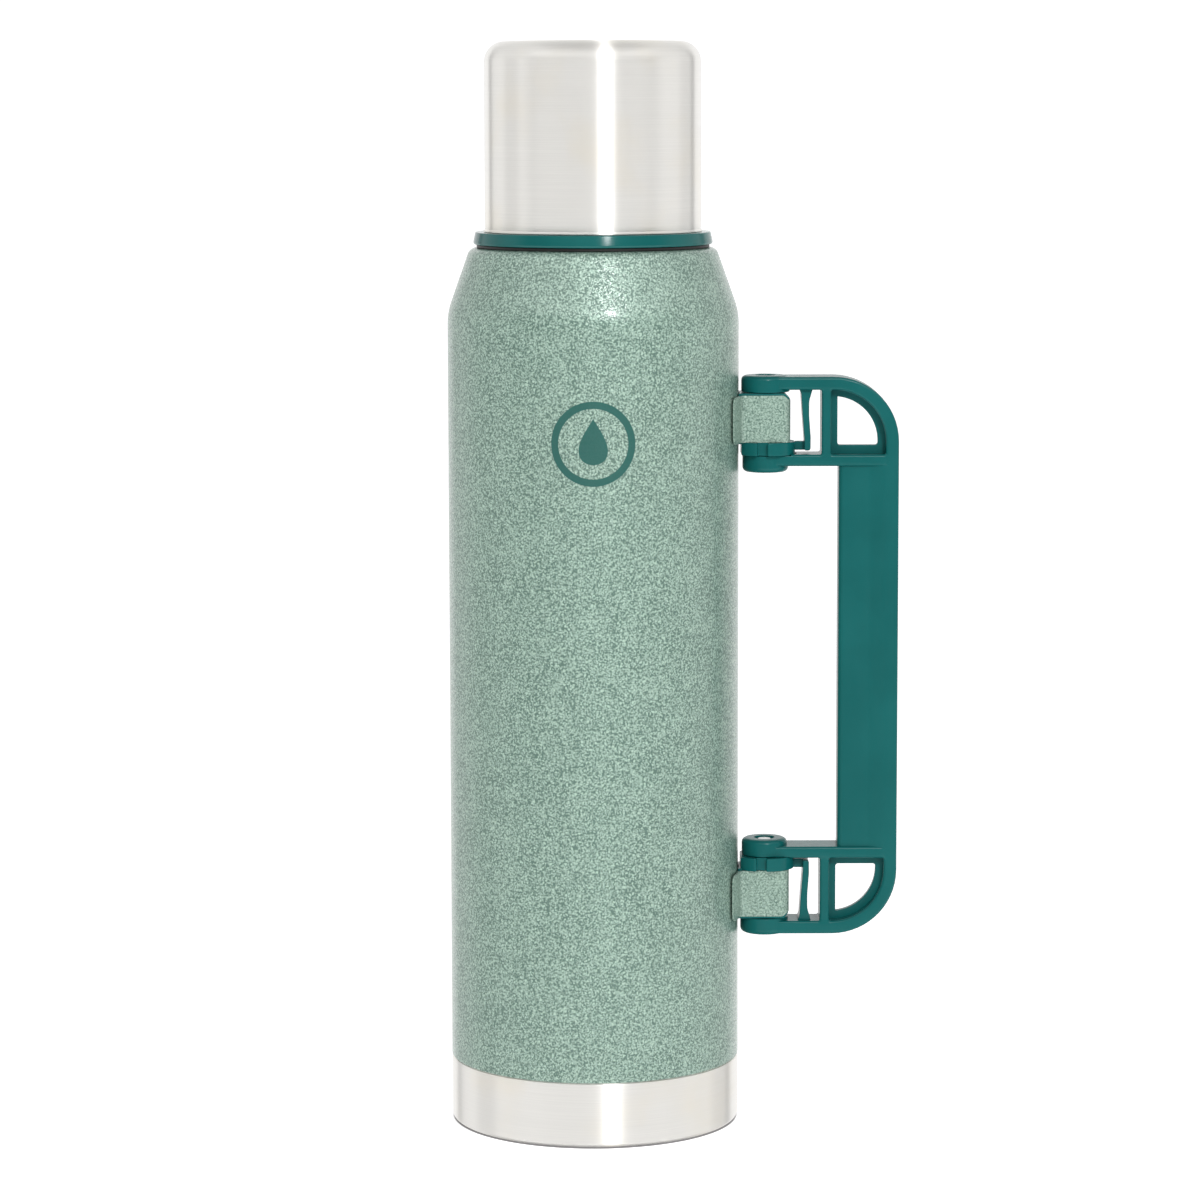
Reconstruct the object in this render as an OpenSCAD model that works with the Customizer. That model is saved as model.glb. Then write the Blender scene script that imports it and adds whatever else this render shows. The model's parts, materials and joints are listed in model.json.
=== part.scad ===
// Vacuum flask: a painted steel body on a brushed base, a screw-on drinking cup,
// a screw stopper under it, and a side handle on two hinges that locks square to
// the body and folds flat against either side. Dimensions are in millimetres.
// The origin is on the flask's axis, at the level it stands on. +Z is up and the
// handle is on the +X side.

/* [Body] */
// Outer diameter of the painted body
body_d = 100; // [99:0.5:104]
// Height of the bare steel band at the foot
band_h = 22.3; // [18:0.1:28]
// Height of the flat shoulder that the collar sits on
shoulder_z = 303.2; // [300:0.2:310]
// Height of the rounded and tapered zone below the shoulder
shoulder_h = 26.2; // [24:0.2:28]
// Taper of the shoulder from upright, in degrees
shoulder_taper = 19.5; // [17:0.5:22]
// Wall thickness of the outer shell and the base
shell_wall = 0.6; // [0.5:0.05:0.8]

/* [Inner vessel] */
// Outer diameter of the inner vessel
vessel_d = 87; // [84:0.5:88]
// Wall thickness of the inner vessel
vessel_wall = 0.5; // [0.4:0.05:0.6]
// Height of the underside of the vessel's floor
vessel_floor = 14; // [12:0.5:18]
// Bore of the neck
neck_bore = 50; // [49.8:0.05:50.2]
// Height of the neck above the shoulder
neck_h = 14.8; // [14.6:0.1:15.2]

/* [Cup] */
// Outer diameter of the cup's wall
cup_d = 74; // [74:0.1:75]
// Height of the cup from its rim to its crown
cup_h = 64.6; // [62:0.2:70]
// Radius of the rounded edge at the top
cup_round = 7; // [6.8:0.1:9]
// Wall thickness of the cup's steel shell
cup_wall = 0.5; // [0.4:0.05:0.5]

/* [Threads] */
// Lift of the cup in one turn
cup_lead = 12; // [10:0.5:12]
// Number of thread starts on the cup
cup_starts = 3; // [3:1:3]
// Lift of the stopper in one turn
stopper_lead = 6; // [5.5:0.5:6]
// Number of thread starts on the stopper
stopper_starts = 2; // [2:1:2]

/* [Handle] */
// Distance from the body's surface to the hinge axis
hinge_gap = 9.2; // [9.1:0.1:10]
// Height of the middle of the handle
handle_mid = 162; // [150:1:170]
// Height of the handle over its two outer arms
handle_h = 194; // [190:1:200]
// Distance from the hinge axis to the outer face of the grip
handle_reach = 45.7; // [44:0.1:50]
// Depth of the handle's frame from front to back
handle_depth = 14; // [13:0.1:14]
// Thickness of the frame's bars
frame_t = 4.5; // [4:0.1:5]
// Distance from the hinge axis to the inner face of the grip
grip_in = 25.1; // [24.5:0.1:27]
// Depth of the grip behind its outer band
grip_depth = 11.4; // [10:0.1:12.6]

/* [Hinges] */
// Diameter of the hinge pins
pin_d = 5; // [4:0.1:5.4]
// Radial running clearance of the pins in the fixed inserts
pin_play = 0.05; // [0.03:0.01:0.08]
// Radius of the notched cam disc
cam_r = 10.4; // [10.2:0.1:10.5]
// Swing of the handle to each side, in degrees
swing = 98; // [95:1:98]
// Width of the cam's notches
notch_w = 3.5; // [3.4:0.1:4]

/* [Hidden] */

$fn = 96;
eps = 0.01;                        // overrun of a cut past the face it opens

// Colours
steel = [0.80, 0.79, 0.77];
paint = [0.62, 0.74, 0.68];
green = [0.09, 0.40, 0.39];
black = [0.07, 0.07, 0.07];

// Body
body_r = body_d / 2;
bend_r = 24;                       // radius of the bend from wall to taper
corner_r = 3;                      // radius of the bend from taper to shoulder
root_r = 1;                        // fillet at the foot of the neck
neck_r = neck_bore / 2 + 3.6;      // outer radius of the outer neck tube
mouth_z = shoulder_z + neck_h;
rim_t = 0.6;                       // thickness of the rim that closes the mouth
bend_c = [body_r - bend_r, shoulder_z - shoulder_h];
corner_z = shoulder_z - corner_r;
corner_c = [bend_c.x + (bend_r - corner_r - (corner_z - bend_c.y) * sin(shoulder_taper))
    / cos(shoulder_taper), corner_z];
root_c = [neck_r + root_r, shoulder_z + root_r];

// Base
band_r = body_r - 0.1;
joint_gap = 0.2;                   // groove between the band and the painted shell
joint_round = 0.45;                // rounding of the two edges at that groove
band_top = band_h - joint_gap;
lip_r = body_r - shell_wall - 0.02;
lip_h = 5;                         // height of the lip inside the painted shell
foot_round = 1.4;
foot_in_r = band_r - 4.2;          // inner radius of the foot ring
recess = 2.6;                      // depth of the recess under the base
recess_run = 1.4;                  // how far the recess wall leans inward
mitre = 0.6;                       // run of an offset corner per unit of wall
disc_r = foot_in_r - recess_run - 1;

// Inner vessel
vessel_r = vessel_d / 2;
vessel_weld = vessel_floor + 12;   // height of the seam between floor and wall
floor_round = 10;
crown_r = 16;                      // radius of the bend from wall to neck slope
crown_a = 60;                      // angle of that bend
throat_r = 6;                      // fillet from the slope to the neck
crown_c = [vessel_r - crown_r, mouth_z - 54];
crown_end = crown_c + crown_r * [cos(crown_a), sin(crown_a)];
throat_x = neck_bore / 2 + vessel_wall + throat_r;
throat_run = (crown_end.x - throat_x + throat_r * cos(crown_a)) / sin(crown_a);
throat_c = [throat_x,
    crown_end.y + throat_run * cos(crown_a) + throat_r * sin(crown_a)];

// Collar and cup
collar_z = shoulder_z + 1.2;
collar_r = 41;
collar_top_r = 40.3;
collar_h = 4.2;                    // height of the collar's visible ring
collar_edge = 0.4;
collar_in_r = neck_r + 0.3;
thread_root = neck_r + 4;          // male root of the cup's thread
thread_top = mouth_z - 1;
ring_top = collar_z + collar_h;
cup_r = cup_d / 2;
rim_z = ring_top + 0.4;
cup_top = rim_z + cup_h;
crown_rise = 0.4;                  // height of the cup's domed top
cup_c = [cup_r - cup_round, cup_top - crown_rise - cup_round];
liner_r = cup_r - cup_wall - 0.05;
liner_in_r = cup_r - 2.6;
liner_z = rim_z + 0.9;
thread_h = 1.3;                    // radial height of the cup's thread ridges
thread_in = 0.3;                   // depth of a ridge's root inside its wall
thread_depth = 1.2;                // radial height of the liner's ridges
collar_ridge_z = ring_top + 1;     // lower end of each set of thread ridges
liner_ridge_z = liner_z + 0.5;
// A thread's inner and outer ridges run midway between each other
liner_phase = 360 * (liner_ridge_z - collar_ridge_z) / cup_lead + 180 / cup_starts;

// Stopper
plug_r = neck_bore / 2 - 1.6;
plug_z = mouth_z - 27;
plug_wall = 1.6;
plug_ridge = 1.2;
neck_ridge = 1.1;
plug_ridge_z = plug_z + 5;
neck_ridge_z = mouth_z - 15.5;
neck_phase = 360 * (neck_ridge_z - plug_ridge_z) / stopper_lead + 180 / stopper_starts;
flange_r = neck_r - 1.1;
flange_z = mouth_z + 0.8;
flange_t = 2.6;
knob_r = neck_bore / 2 + 1;
knob_z = flange_z + flange_t;
knob_h = 10.2;
knob_chamfer = 1;
knob_flutes = 20;
flute_r = 1.4;

// Handle and hinges, heights given from the middle of the handle
hinge_x = body_r + hinge_gap;
arm_top = handle_h / 2;
arc_r = 22.4;                      // outer radius of the handle's corners
arc_x = handle_reach - arc_r;
boss_r = 7.9;
boss_top = arm_top + 0.3;
boss_bottom = arm_top - 5.4;
bar_top = 70.3;
bar_bottom = 66.3;
inner_boss_bottom = 64;
inner_boss_top = 69.8;
strut_x = [19.1, 22.3];            // from the hinge axis
web_t = 3;
window_x = [24.8, 38.7];
window_z = [73.2, 90.5];
window_r = 15.35;
grip_round = 1.8;
grip_blend = [grip_in + 9.2, grip_in + 16.7];
counterbore_r = 3.5;
counterbore_h = 1.1;
cam_sweep = cam_r + 0.5;           // the frame's clearance around the cam

strap_t = 1.2;
strap_z = [74.55, 90.65];          // bottom and top of the bracket
strap_front = 8.4;                 // outer front face, from the hinge axis
strap_half = 7.9;
strap_bend = 2.6;
strap_a = 20.5;                    // half angle that the flanges wrap
cam_z = [70, 74.5];
cam_flat = 8.4;                    // flat of the cam towards the body
notch_depth = 1.9;
insert_play = 0.05;
lip_t = 0.75;

leaf_z = [71.5, 92.5];
leaf_top_x = [12, 15.6];
leaf_low_x = [13.4, 15.4];
leaf_half = 4.5;
pawl_x = 9.4;
pawl_h = 2.8;
pawl_half = 1.4;

// ---- helpers ----
function polar(r, a) = r * [cos(a), sin(a)];
function arc(centre, r, from, to, n) =
    [for (i = [0:n]) centre + polar(r, from + (to - from) * i / n)];
function flip(points) = [for (i = [len(points) - 1:-1:0]) points[i]];
function mirror_y(points) = [for (p = flip(points)) [p.x, -p.y]];

module revolve(points) rotate_extrude() polygon(points);
module tube(r_in, r_out, z0, z1)
    revolve([[r_in, z0], [r_out, z0], [r_out, z1], [r_in, z1]]);

// One helical ridge. section lists [radius, height] corners, anticlockwise when
// radius points right and height up. foot and tip are the radii of its root and
// crest: the crest fades towards the root at both ends.
module ridge(foot, tip, foot_w, tip_w, lead, z0, z1, start) {
    step = 10;
    rise = lead * step / 360;
    n = floor((z1 - z0 - foot_w) / rise);
    function crest(i) = foot + (tip - foot) * min(1, 0.4 + 0.3 * min(i, n - i));
    function section(r) = tip > foot
        ? [[foot, -foot_w / 2], [r, -tip_w / 2], [r, tip_w / 2], [foot, foot_w / 2]]
        : [[foot, foot_w / 2], [r, tip_w / 2], [r, -tip_w / 2], [foot, -foot_w / 2]];
    points = [for (i = [0:n], p = section(crest(i)))
        [each polar(p.x, start + i * step), z0 + foot_w / 2 + i * rise + p.y]];
    sides = [for (i = [0:n - 1], j = [0:3])
        let (a = 4 * i + j, b = 4 * i + (j + 1) % 4) each [[a, b, b + 4], [a, b + 4, a + 4]]];
    polyhedron(points, concat([[3, 2, 1, 0]], sides, [[for (j = [0:3]) 4 * n + j]]));
}

module ridges(starts, shift, foot, tip, foot_w, tip_w, lead, z0, z1)
    for (i = [0:starts - 1])
        ridge(foot, tip, foot_w, tip_w, lead, z0, z1, shift + i * 360 / starts);

// ---- outer wall ----
function shell_foot(t) = t > 0 ? [[body_r - t, band_h]]
    : arc([body_r - joint_round, band_h + joint_round], joint_round, -90, 0, 3);

function shell_line(t) = concat(
    shell_foot(t),
    arc(bend_c, bend_r - t, 0, shoulder_taper, 6),
    arc(corner_c, corner_r - t, shoulder_taper, 90, 5),
    arc(root_c, root_r + t, 270, 180, 4),
    [[neck_r - t, mouth_z - rim_t]]);

module outer_shell() color(paint)
    revolve(concat(shell_line(0), flip(shell_line(shell_wall))));

function band_shoulder(t) = t > 0 ? [[band_r - t, band_top - t]]
    : arc([band_r - joint_round, band_top - joint_round], joint_round, 90, 0, 3);

function base_line(t) = concat(
    [[lip_r - t, band_h + lip_h], [lip_r - t, band_top - t]], band_shoulder(t),
    arc([band_r - foot_round, foot_round], foot_round - t, 0, -90, 5),
    [[foot_in_r + mitre * t, t], [foot_in_r - recess_run + mitre * t, recess + t],
        [0, recess + t]]);

module base_cup() color(steel)
    revolve(concat(base_line(0), flip(base_line(shell_wall))));

// Cover plate in the recess: it hides the vacuum seal
module base_disc() color(steel)
    revolve([[0, 1.4], [disc_r - 1, 1.4], [disc_r, recess], [disc_r - mitre, recess],
        [disc_r - 1 - mitre, 1.4 + shell_wall], [0, 1.4 + shell_wall]]);

module vacuum_seal() color([0.55, 0.55, 0.55])
    revolve([[0, 2.05], [3, 2.05], [4, recess], [0, recess]]);

// ---- inner vessel ----
function vessel_line(t) = concat(
    [[vessel_r - t, vessel_weld]],
    arc(crown_c, crown_r - t, 0, crown_a, 8),
    arc(throat_c, throat_r + t, 180 + crown_a, 180, 5),
    [[neck_bore / 2 + vessel_wall - t, mouth_z - rim_t]]);

module inner_vessel() color(steel) {
    revolve(concat(vessel_line(0),
        [[neck_r, mouth_z - rim_t], [neck_r, mouth_z - rim_t / 2],
            [neck_r - rim_t / 2, mouth_z], [neck_bore / 2 + rim_t, mouth_z]],
        flip(vessel_line(vessel_wall))));
    ridges(stopper_starts, neck_phase, neck_bore / 2 + thread_in, neck_bore / 2 - neck_ridge,
        1.3, 0.6, stopper_lead, neck_ridge_z, mouth_z - 4);
}

module inner_base() color(steel)
    revolve(concat(
        [[vessel_r, vessel_weld]],
        arc([vessel_r - floor_round, vessel_floor + floor_round], floor_round, 0, -90, 8),
        [[0, vessel_floor], [0, vessel_floor + vessel_wall]],
        arc([vessel_r - floor_round, vessel_floor + floor_round],
            floor_round - vessel_wall, -90, 0, 8),
        [[vessel_r - vessel_wall, vessel_weld]]));

module radiation_foil() color([0.80, 0.50, 0.30])
    tube(vessel_r + 0.3, vessel_r + 0.4, vessel_weld + 4, crown_c.y - 4);

module getter() color([0.45, 0.45, 0.47])
    revolve([[0, vessel_floor - 2.5], [5, vessel_floor - 2.5], [6, vessel_floor - 1.5],
        [6, vessel_floor], [0, vessel_floor]]);

// ---- collar ----
module collar_gasket() color(black)
    tube(neck_r + 1.6, corner_c.x - 0.2, shoulder_z, collar_z);

module neck_collar() color(green) {
    revolve([[collar_in_r, collar_z], [collar_r - collar_edge, collar_z],
        [collar_r, collar_z + collar_edge], [collar_top_r, ring_top - collar_edge],
        [collar_top_r - collar_edge, ring_top], [thread_root, ring_top],
        [thread_root, thread_top - 0.6], [thread_root - 0.6, thread_top],
        [collar_in_r, thread_top]]);
    ridges(cup_starts, 0, thread_root - thread_in, thread_root + thread_h,
        1.8, 0.9, cup_lead, collar_ridge_z, thread_top - 0.7);
}

// ---- cup ----
module cup_shell() color(steel)
    revolve(concat(
        [[cup_r + 0.7, rim_z], [cup_r + 0.7, rim_z + 0.8], [cup_r, rim_z + 2.2]],
        arc(cup_c, cup_round, 0, 90, 8),
        [[0, cup_top], [0, cup_top - cup_wall]],
        arc(cup_c, cup_round - cup_wall, 90, 0, 8),
        [[cup_r - cup_wall, rim_z]]));

module cup_liner() color(green) {
    revolve(concat(
        [[liner_r, liner_z]],
        arc(cup_c, liner_r - cup_c.x, 0, 90, 8),
        [[0, cup_c.y + liner_r - cup_c.x], [0, cup_c.y + liner_in_r - cup_c.x]],
        arc(cup_c, liner_in_r - cup_c.x, 90, 0, 8),
        [[liner_in_r, liner_z]]));
    ridges(cup_starts, liner_phase, liner_in_r + thread_in, liner_in_r - thread_depth,
        1.8, 0.9, cup_lead, liner_ridge_z, thread_top - 0.7);
}

module cup_gasket() color(black)
    tube(liner_in_r + 0.2, liner_r - 0.15, ring_top + 0.1, liner_z);

// ---- stopper ----
module stopper_body() color(green) {
    revolve([[0, plug_z], [plug_r - 1, plug_z], [plug_r, plug_z + 1], [plug_r, flange_z],
        [flange_r, flange_z], [flange_r, knob_z], [plug_r - plug_wall, knob_z],
        [plug_r - plug_wall, plug_z + plug_wall], [0, plug_z + plug_wall]]);
    ridges(stopper_starts, 0, plug_r - thread_in, plug_r + plug_ridge,
        1.3, 0.6, stopper_lead, plug_ridge_z, mouth_z - 6);
}

module stopper_knob() color(green) {
    translate([0, 0, knob_z]) linear_extrude(knob_h - knob_chamfer) difference() {
        circle(r = knob_r);
        for (i = [0:knob_flutes - 1])
            rotate(i * 360 / knob_flutes) translate([knob_r + flute_r / 2, 0])
                circle(r = flute_r, $fn = 32);
    }
    translate([0, 0, knob_z + knob_h - knob_chamfer])
        cylinder(h = knob_chamfer, r1 = knob_r - 1.2, r2 = knob_r - 2.2);
    translate([0, 0, knob_z - 3]) cylinder(h = 3, r = plug_r - plug_wall - 0.1);
}

module stopper_core() color([0.93, 0.90, 0.78])
    translate([0, 0, plug_z + plug_wall])
        cylinder(h = knob_z - 3 - plug_z - plug_wall, r = plug_r - plug_wall - 0.1);

module stopper_seal() color(black)
    tube(plug_r + 0.1, flange_r - 0.4, mouth_z + 0.05, flange_z);

// ---- hinges: each is drawn as the upper one, and mirrored for the lower ----
module above() translate([0, 0, handle_mid]) children();
module below() translate([0, 0, handle_mid]) mirror([0, 0, 1]) children();
module slab(z) translate([0, 0, z[0]]) linear_extrude(z[1] - z[0]) children();

// Plan of the bracket's outer face, shrunk inward by t
function strap_half_line(t) = concat(
    [[body_r - 5, strap_half - t]],
    arc([hinge_x + strap_front - strap_bend, strap_half - strap_bend],
        strap_bend - t, 90, 0, 5));
function strap_line(t) = concat(strap_half_line(t), mirror_y(strap_half_line(t)));

module bracket() color(paint) difference() {
    union() {
        slab(strap_z) polygon(strap_line(0));
        slab(strap_z) intersection() {
            circle(r = body_r + strap_t);
            polygon([[0, 0], polar(body_d, -strap_a), polar(body_d, strap_a)]);
        }
    }
    slab([strap_z[0] - 1, strap_z[1] + 1]) polygon(strap_line(strap_t));
    slab([strap_z[0] - 1, strap_z[1] + 1]) circle(r = body_r + 0.02);
}

module hinge_insert() color(green) difference() {
    union() {
        slab(cam_z) translate([hinge_x, 0]) difference() {
            circle(r = cam_r);
            translate([-cam_r - cam_flat, -cam_r]) square([cam_r, 2 * cam_r]);
            for (a = [-swing, 0, swing])
                rotate(a) translate([cam_r - notch_depth, -notch_w / 2])
                    square([cam_r, notch_w]);
        }
        slab([cam_z[1], strap_z[1]]) difference() {
            polygon(strap_line(strap_t + insert_play));
            circle(r = body_r + 0.3);
        }
        slab([strap_z[1], strap_z[1] + lip_t]) difference() {
            polygon(strap_line(0.2));
            circle(r = body_r + 0.3);
        }
    }
    translate([hinge_x, 0, cam_z[0] - 1])
        cylinder(h = strap_z[1] - cam_z[0] + 3, d = pin_d + 2 * pin_play);
}

module hinge_pin() color(steel)
    translate([hinge_x, 0, inner_boss_bottom + counterbore_h])
        cylinder(h = boss_top - inner_boss_bottom - 2 * counterbore_h, d = pin_d);

module upper_bracket() above() bracket();
module lower_bracket() below() bracket();
module upper_hinge_insert() above() hinge_insert();
module lower_hinge_insert() below() hinge_insert();
module upper_hinge_pin() above() hinge_pin();
module lower_hinge_pin() below() hinge_pin();

// ---- handle ----
// Side view outline of one half, with the frame's corner rounded to radius r and
// its faces at top and out
function bow(top, out, r) = concat(
    [[0, top]], arc([out - r, top - r], r, 90, 0, 8), [[out, 0], [0, 0]]);

module upright(depth) rotate([90, 0, 0]) linear_extrude(depth, center = true) children();

module half_frame() {
    upright(handle_depth) {
        difference() {
            polygon(bow(arm_top, handle_reach, arc_r));
            translate([-1, -1])
                square([handle_reach - frame_t - 1, bar_bottom + 1]);
            intersection() {
                polygon(bow(arm_top - frame_t, handle_reach - frame_t, arc_r - frame_t));
                translate([0, bar_bottom]) square([handle_reach, arm_top]);
            }
            translate([handle_reach - frame_t - 2, -1])
                square([2, bar_bottom + 1]);
        }
        translate([0, bar_bottom])
            square([handle_reach - frame_t + eps, bar_top - bar_bottom]);
        translate([strut_x[0], bar_top - eps])
            square([strut_x[1] - strut_x[0], arm_top - frame_t - bar_top + 2 * eps]);
    }
    upright(web_t) intersection() {
        difference() {
            translate([strut_x[1] - eps, bar_top - eps]) square(arc_r);
            intersection() {
                translate([window_x[0], window_z[0]])
                    square([window_x[1] - window_x[0], window_z[1] - window_z[0]]);
                translate([arc_x, arm_top - arc_r]) circle(r = window_r);
            }
        }
        translate([arc_x, arm_top - arc_r]) circle(r = arc_r - frame_t / 2);
    }
}

function grip_half() = concat(
    arc([grip_in + grip_round, grip_depth / 2 - grip_round], grip_round, 180, 90, 4),
    [for (i = [0:5]) let (u = i / 5) [
        grip_blend[0] + u * (grip_blend[1] - grip_blend[0]),
        grip_depth / 2 + (handle_depth - grip_depth) * (1 - cos(180 * u)) / 4]],
    [[handle_reach, handle_depth / 2]]);

module handle_frame() color(green) translate([hinge_x, 0, handle_mid]) difference() {
    union() {
        for (side = [0, 1]) mirror([0, 0, side]) {
            half_frame();
            translate([0, 0, boss_bottom]) {
                cylinder(h = boss_top - boss_bottom - 0.8, r = boss_r);
                translate([0, 0, boss_top - boss_bottom - 0.8])
                    cylinder(h = 0.8, r1 = boss_r, r2 = boss_r - 0.8);
            }
            translate([0, 0, inner_boss_bottom])
                cylinder(h = inner_boss_top - inner_boss_bottom, r = boss_r);
        }
        translate([0, 0, -bar_bottom - eps]) linear_extrude(2 * bar_bottom + 2 * eps)
            polygon(concat(grip_half(), mirror_y(grip_half())));
    }
    for (side = [0, 1]) mirror([0, 0, side]) {
        translate([0, 0, inner_boss_top]) cylinder(h = 5, r = cam_sweep);
        cylinder(h = arm_top + 1, d = pin_d);
        translate([0, 0, boss_top - counterbore_h]) cylinder(h = 5, r = counterbore_r);
        translate([0, 0, inner_boss_bottom - 1])
            cylinder(h = 1 + counterbore_h, r = counterbore_r);
    }
}

// Springy tongue that hangs from the arm, with the pawl that drops into the cam
module detent_leaf() color(green) translate([hinge_x, 0, 0]) {
    upright(2 * leaf_half)
        polygon([[leaf_low_x[0], leaf_z[0]], [leaf_low_x[1], leaf_z[0]],
            [leaf_top_x[1] - 1.4, leaf_z[1] - 3], [leaf_top_x[1], leaf_z[1]],
            [leaf_top_x[0], leaf_z[1]]]);
    upright(2 * pawl_half)
        polygon([[pawl_x, leaf_z[0]], [leaf_low_x[1], leaf_z[0]],
            [leaf_low_x[1] - 0.3, leaf_z[0] + pawl_h], [pawl_x + 0.8, leaf_z[0] + pawl_h]]);
}

module upper_detent_leaf() above() detent_leaf();
module lower_detent_leaf() below() detent_leaf();

outer_shell();
base_cup();
base_disc();
vacuum_seal();
inner_vessel();
inner_base();
radiation_foil();
getter();
collar_gasket();
neck_collar();
cup_shell();
cup_liner();
cup_gasket();
stopper_body();
stopper_knob();
stopper_core();
stopper_seal();
upper_bracket();
lower_bracket();
upper_hinge_insert();
lower_hinge_insert();
upper_hinge_pin();
lower_hinge_pin();
handle_frame();
upper_detent_leaf();
lower_detent_leaf();
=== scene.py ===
import json
from math import acos, asin, atan2, cos, degrees, pi, radians, sin, sqrt, tan

import bpy
from mathutils import Euler, Matrix, Vector
from mathutils.geometry import tessellate_polygon


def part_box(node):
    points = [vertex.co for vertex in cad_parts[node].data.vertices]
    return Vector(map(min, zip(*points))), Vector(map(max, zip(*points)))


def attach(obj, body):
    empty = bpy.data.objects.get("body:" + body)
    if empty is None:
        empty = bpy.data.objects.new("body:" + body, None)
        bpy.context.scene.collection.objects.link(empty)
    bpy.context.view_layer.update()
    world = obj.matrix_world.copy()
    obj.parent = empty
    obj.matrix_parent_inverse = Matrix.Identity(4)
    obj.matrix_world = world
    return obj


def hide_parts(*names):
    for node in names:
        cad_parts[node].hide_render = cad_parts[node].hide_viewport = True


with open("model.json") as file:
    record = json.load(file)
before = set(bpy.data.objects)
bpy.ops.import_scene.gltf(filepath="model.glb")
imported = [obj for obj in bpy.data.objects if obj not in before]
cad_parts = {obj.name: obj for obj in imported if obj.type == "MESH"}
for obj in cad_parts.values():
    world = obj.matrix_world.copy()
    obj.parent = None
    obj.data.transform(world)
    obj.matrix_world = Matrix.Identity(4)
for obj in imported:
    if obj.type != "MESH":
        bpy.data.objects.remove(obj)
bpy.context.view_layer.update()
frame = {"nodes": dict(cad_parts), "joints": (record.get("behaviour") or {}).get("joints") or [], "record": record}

record = frame["record"]
slot_of = {part["node"]: part["material_slot"] for part in record["subparts"]}
body_of = {n: b for b, nodes in record["behaviour"]["bodies"].items() for n in nodes}
MM = 0.001


def span(node):
    """Lowest and highest corner of a CAD node in millimetres."""
    return [[value / MM for value in corner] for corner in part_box(node)]


# ---------------------------------------------------------------- materials
class Shader:
    """A Principled material and short calls for the nodes that feed it. Noise scales are
    features per metre, and bump distances metres."""

    def __init__(self, name, **sockets):
        self.material = bpy.data.materials.new(name)
        self.material.use_nodes = True
        self.tree = self.material.node_tree
        self.tree.nodes.clear()
        self.bsdf = self.node("ShaderNodeBsdfPrincipled", sockets)
        self.node("ShaderNodeOutputMaterial", {"Surface": self.bsdf.outputs[0]})
        self.place = self.node("ShaderNodeTexCoord").outputs["Object"]

    def node(self, kind, inputs=None, **settings):
        made = self.tree.nodes.new(kind)
        for key, value in settings.items():
            setattr(made, key, value)
        for key, value in (inputs or {}).items():
            if isinstance(key, str):
                key = key.replace("_", " ")
            if isinstance(value, bpy.types.NodeSocket):
                self.tree.links.new(value, made.inputs[key])
            else:
                made.inputs[key].default_value = value
        return made

    def set(self, **inputs):
        for key, value in inputs.items():
            self.tree.links.new(value, self.bsdf.inputs[key.replace("_", " ")])

    def math(self, operation, a, b=0.0, clamp=False):
        return self.node("ShaderNodeMath", {0: a, 1: b}, operation=operation,
                         use_clamp=clamp).outputs[0]

    def scaled(self, factors):
        return self.node("ShaderNodeVectorMath", {0: self.place, 1: factors},
                         operation="MULTIPLY").outputs[0]

    def noise(self, scale, detail=2.0, where=None, roughness=0.5):
        return self.node("ShaderNodeTexNoise",
                         {"Vector": where or self.place, "Scale": scale,
                          "Detail": detail, "Roughness": roughness}).outputs["Fac"]

    def ease(self, value, start, end, low=0.0, high=1.0):
        return self.node("ShaderNodeMapRange", {0: value, 1: start, 2: end, 3: low, 4: high},
                         interpolation_type="SMOOTHSTEP").outputs[0]

    def mix(self, factor, a, b):
        return self.node("ShaderNodeMix", {0: factor, 6: a, 7: b},
                         data_type="RGBA").outputs[2]

    def bump(self, height, distance, strength):
        return self.node("ShaderNodeBump", {"Height": height, "Distance": distance,
                                            "Strength": strength}).outputs[0]


PRINT_RING, PRINT_HALF = 13.0, 1.15          # ring radius and half its line, mm
DROP_FOOT, DROP_TALL, DROP_WIDE = 7.0, 15.5, 13.5
VEIN, PRINT = (0.105, 0.185, 0.15, 1), (0.012, 0.105, 0.088, 1)


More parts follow.
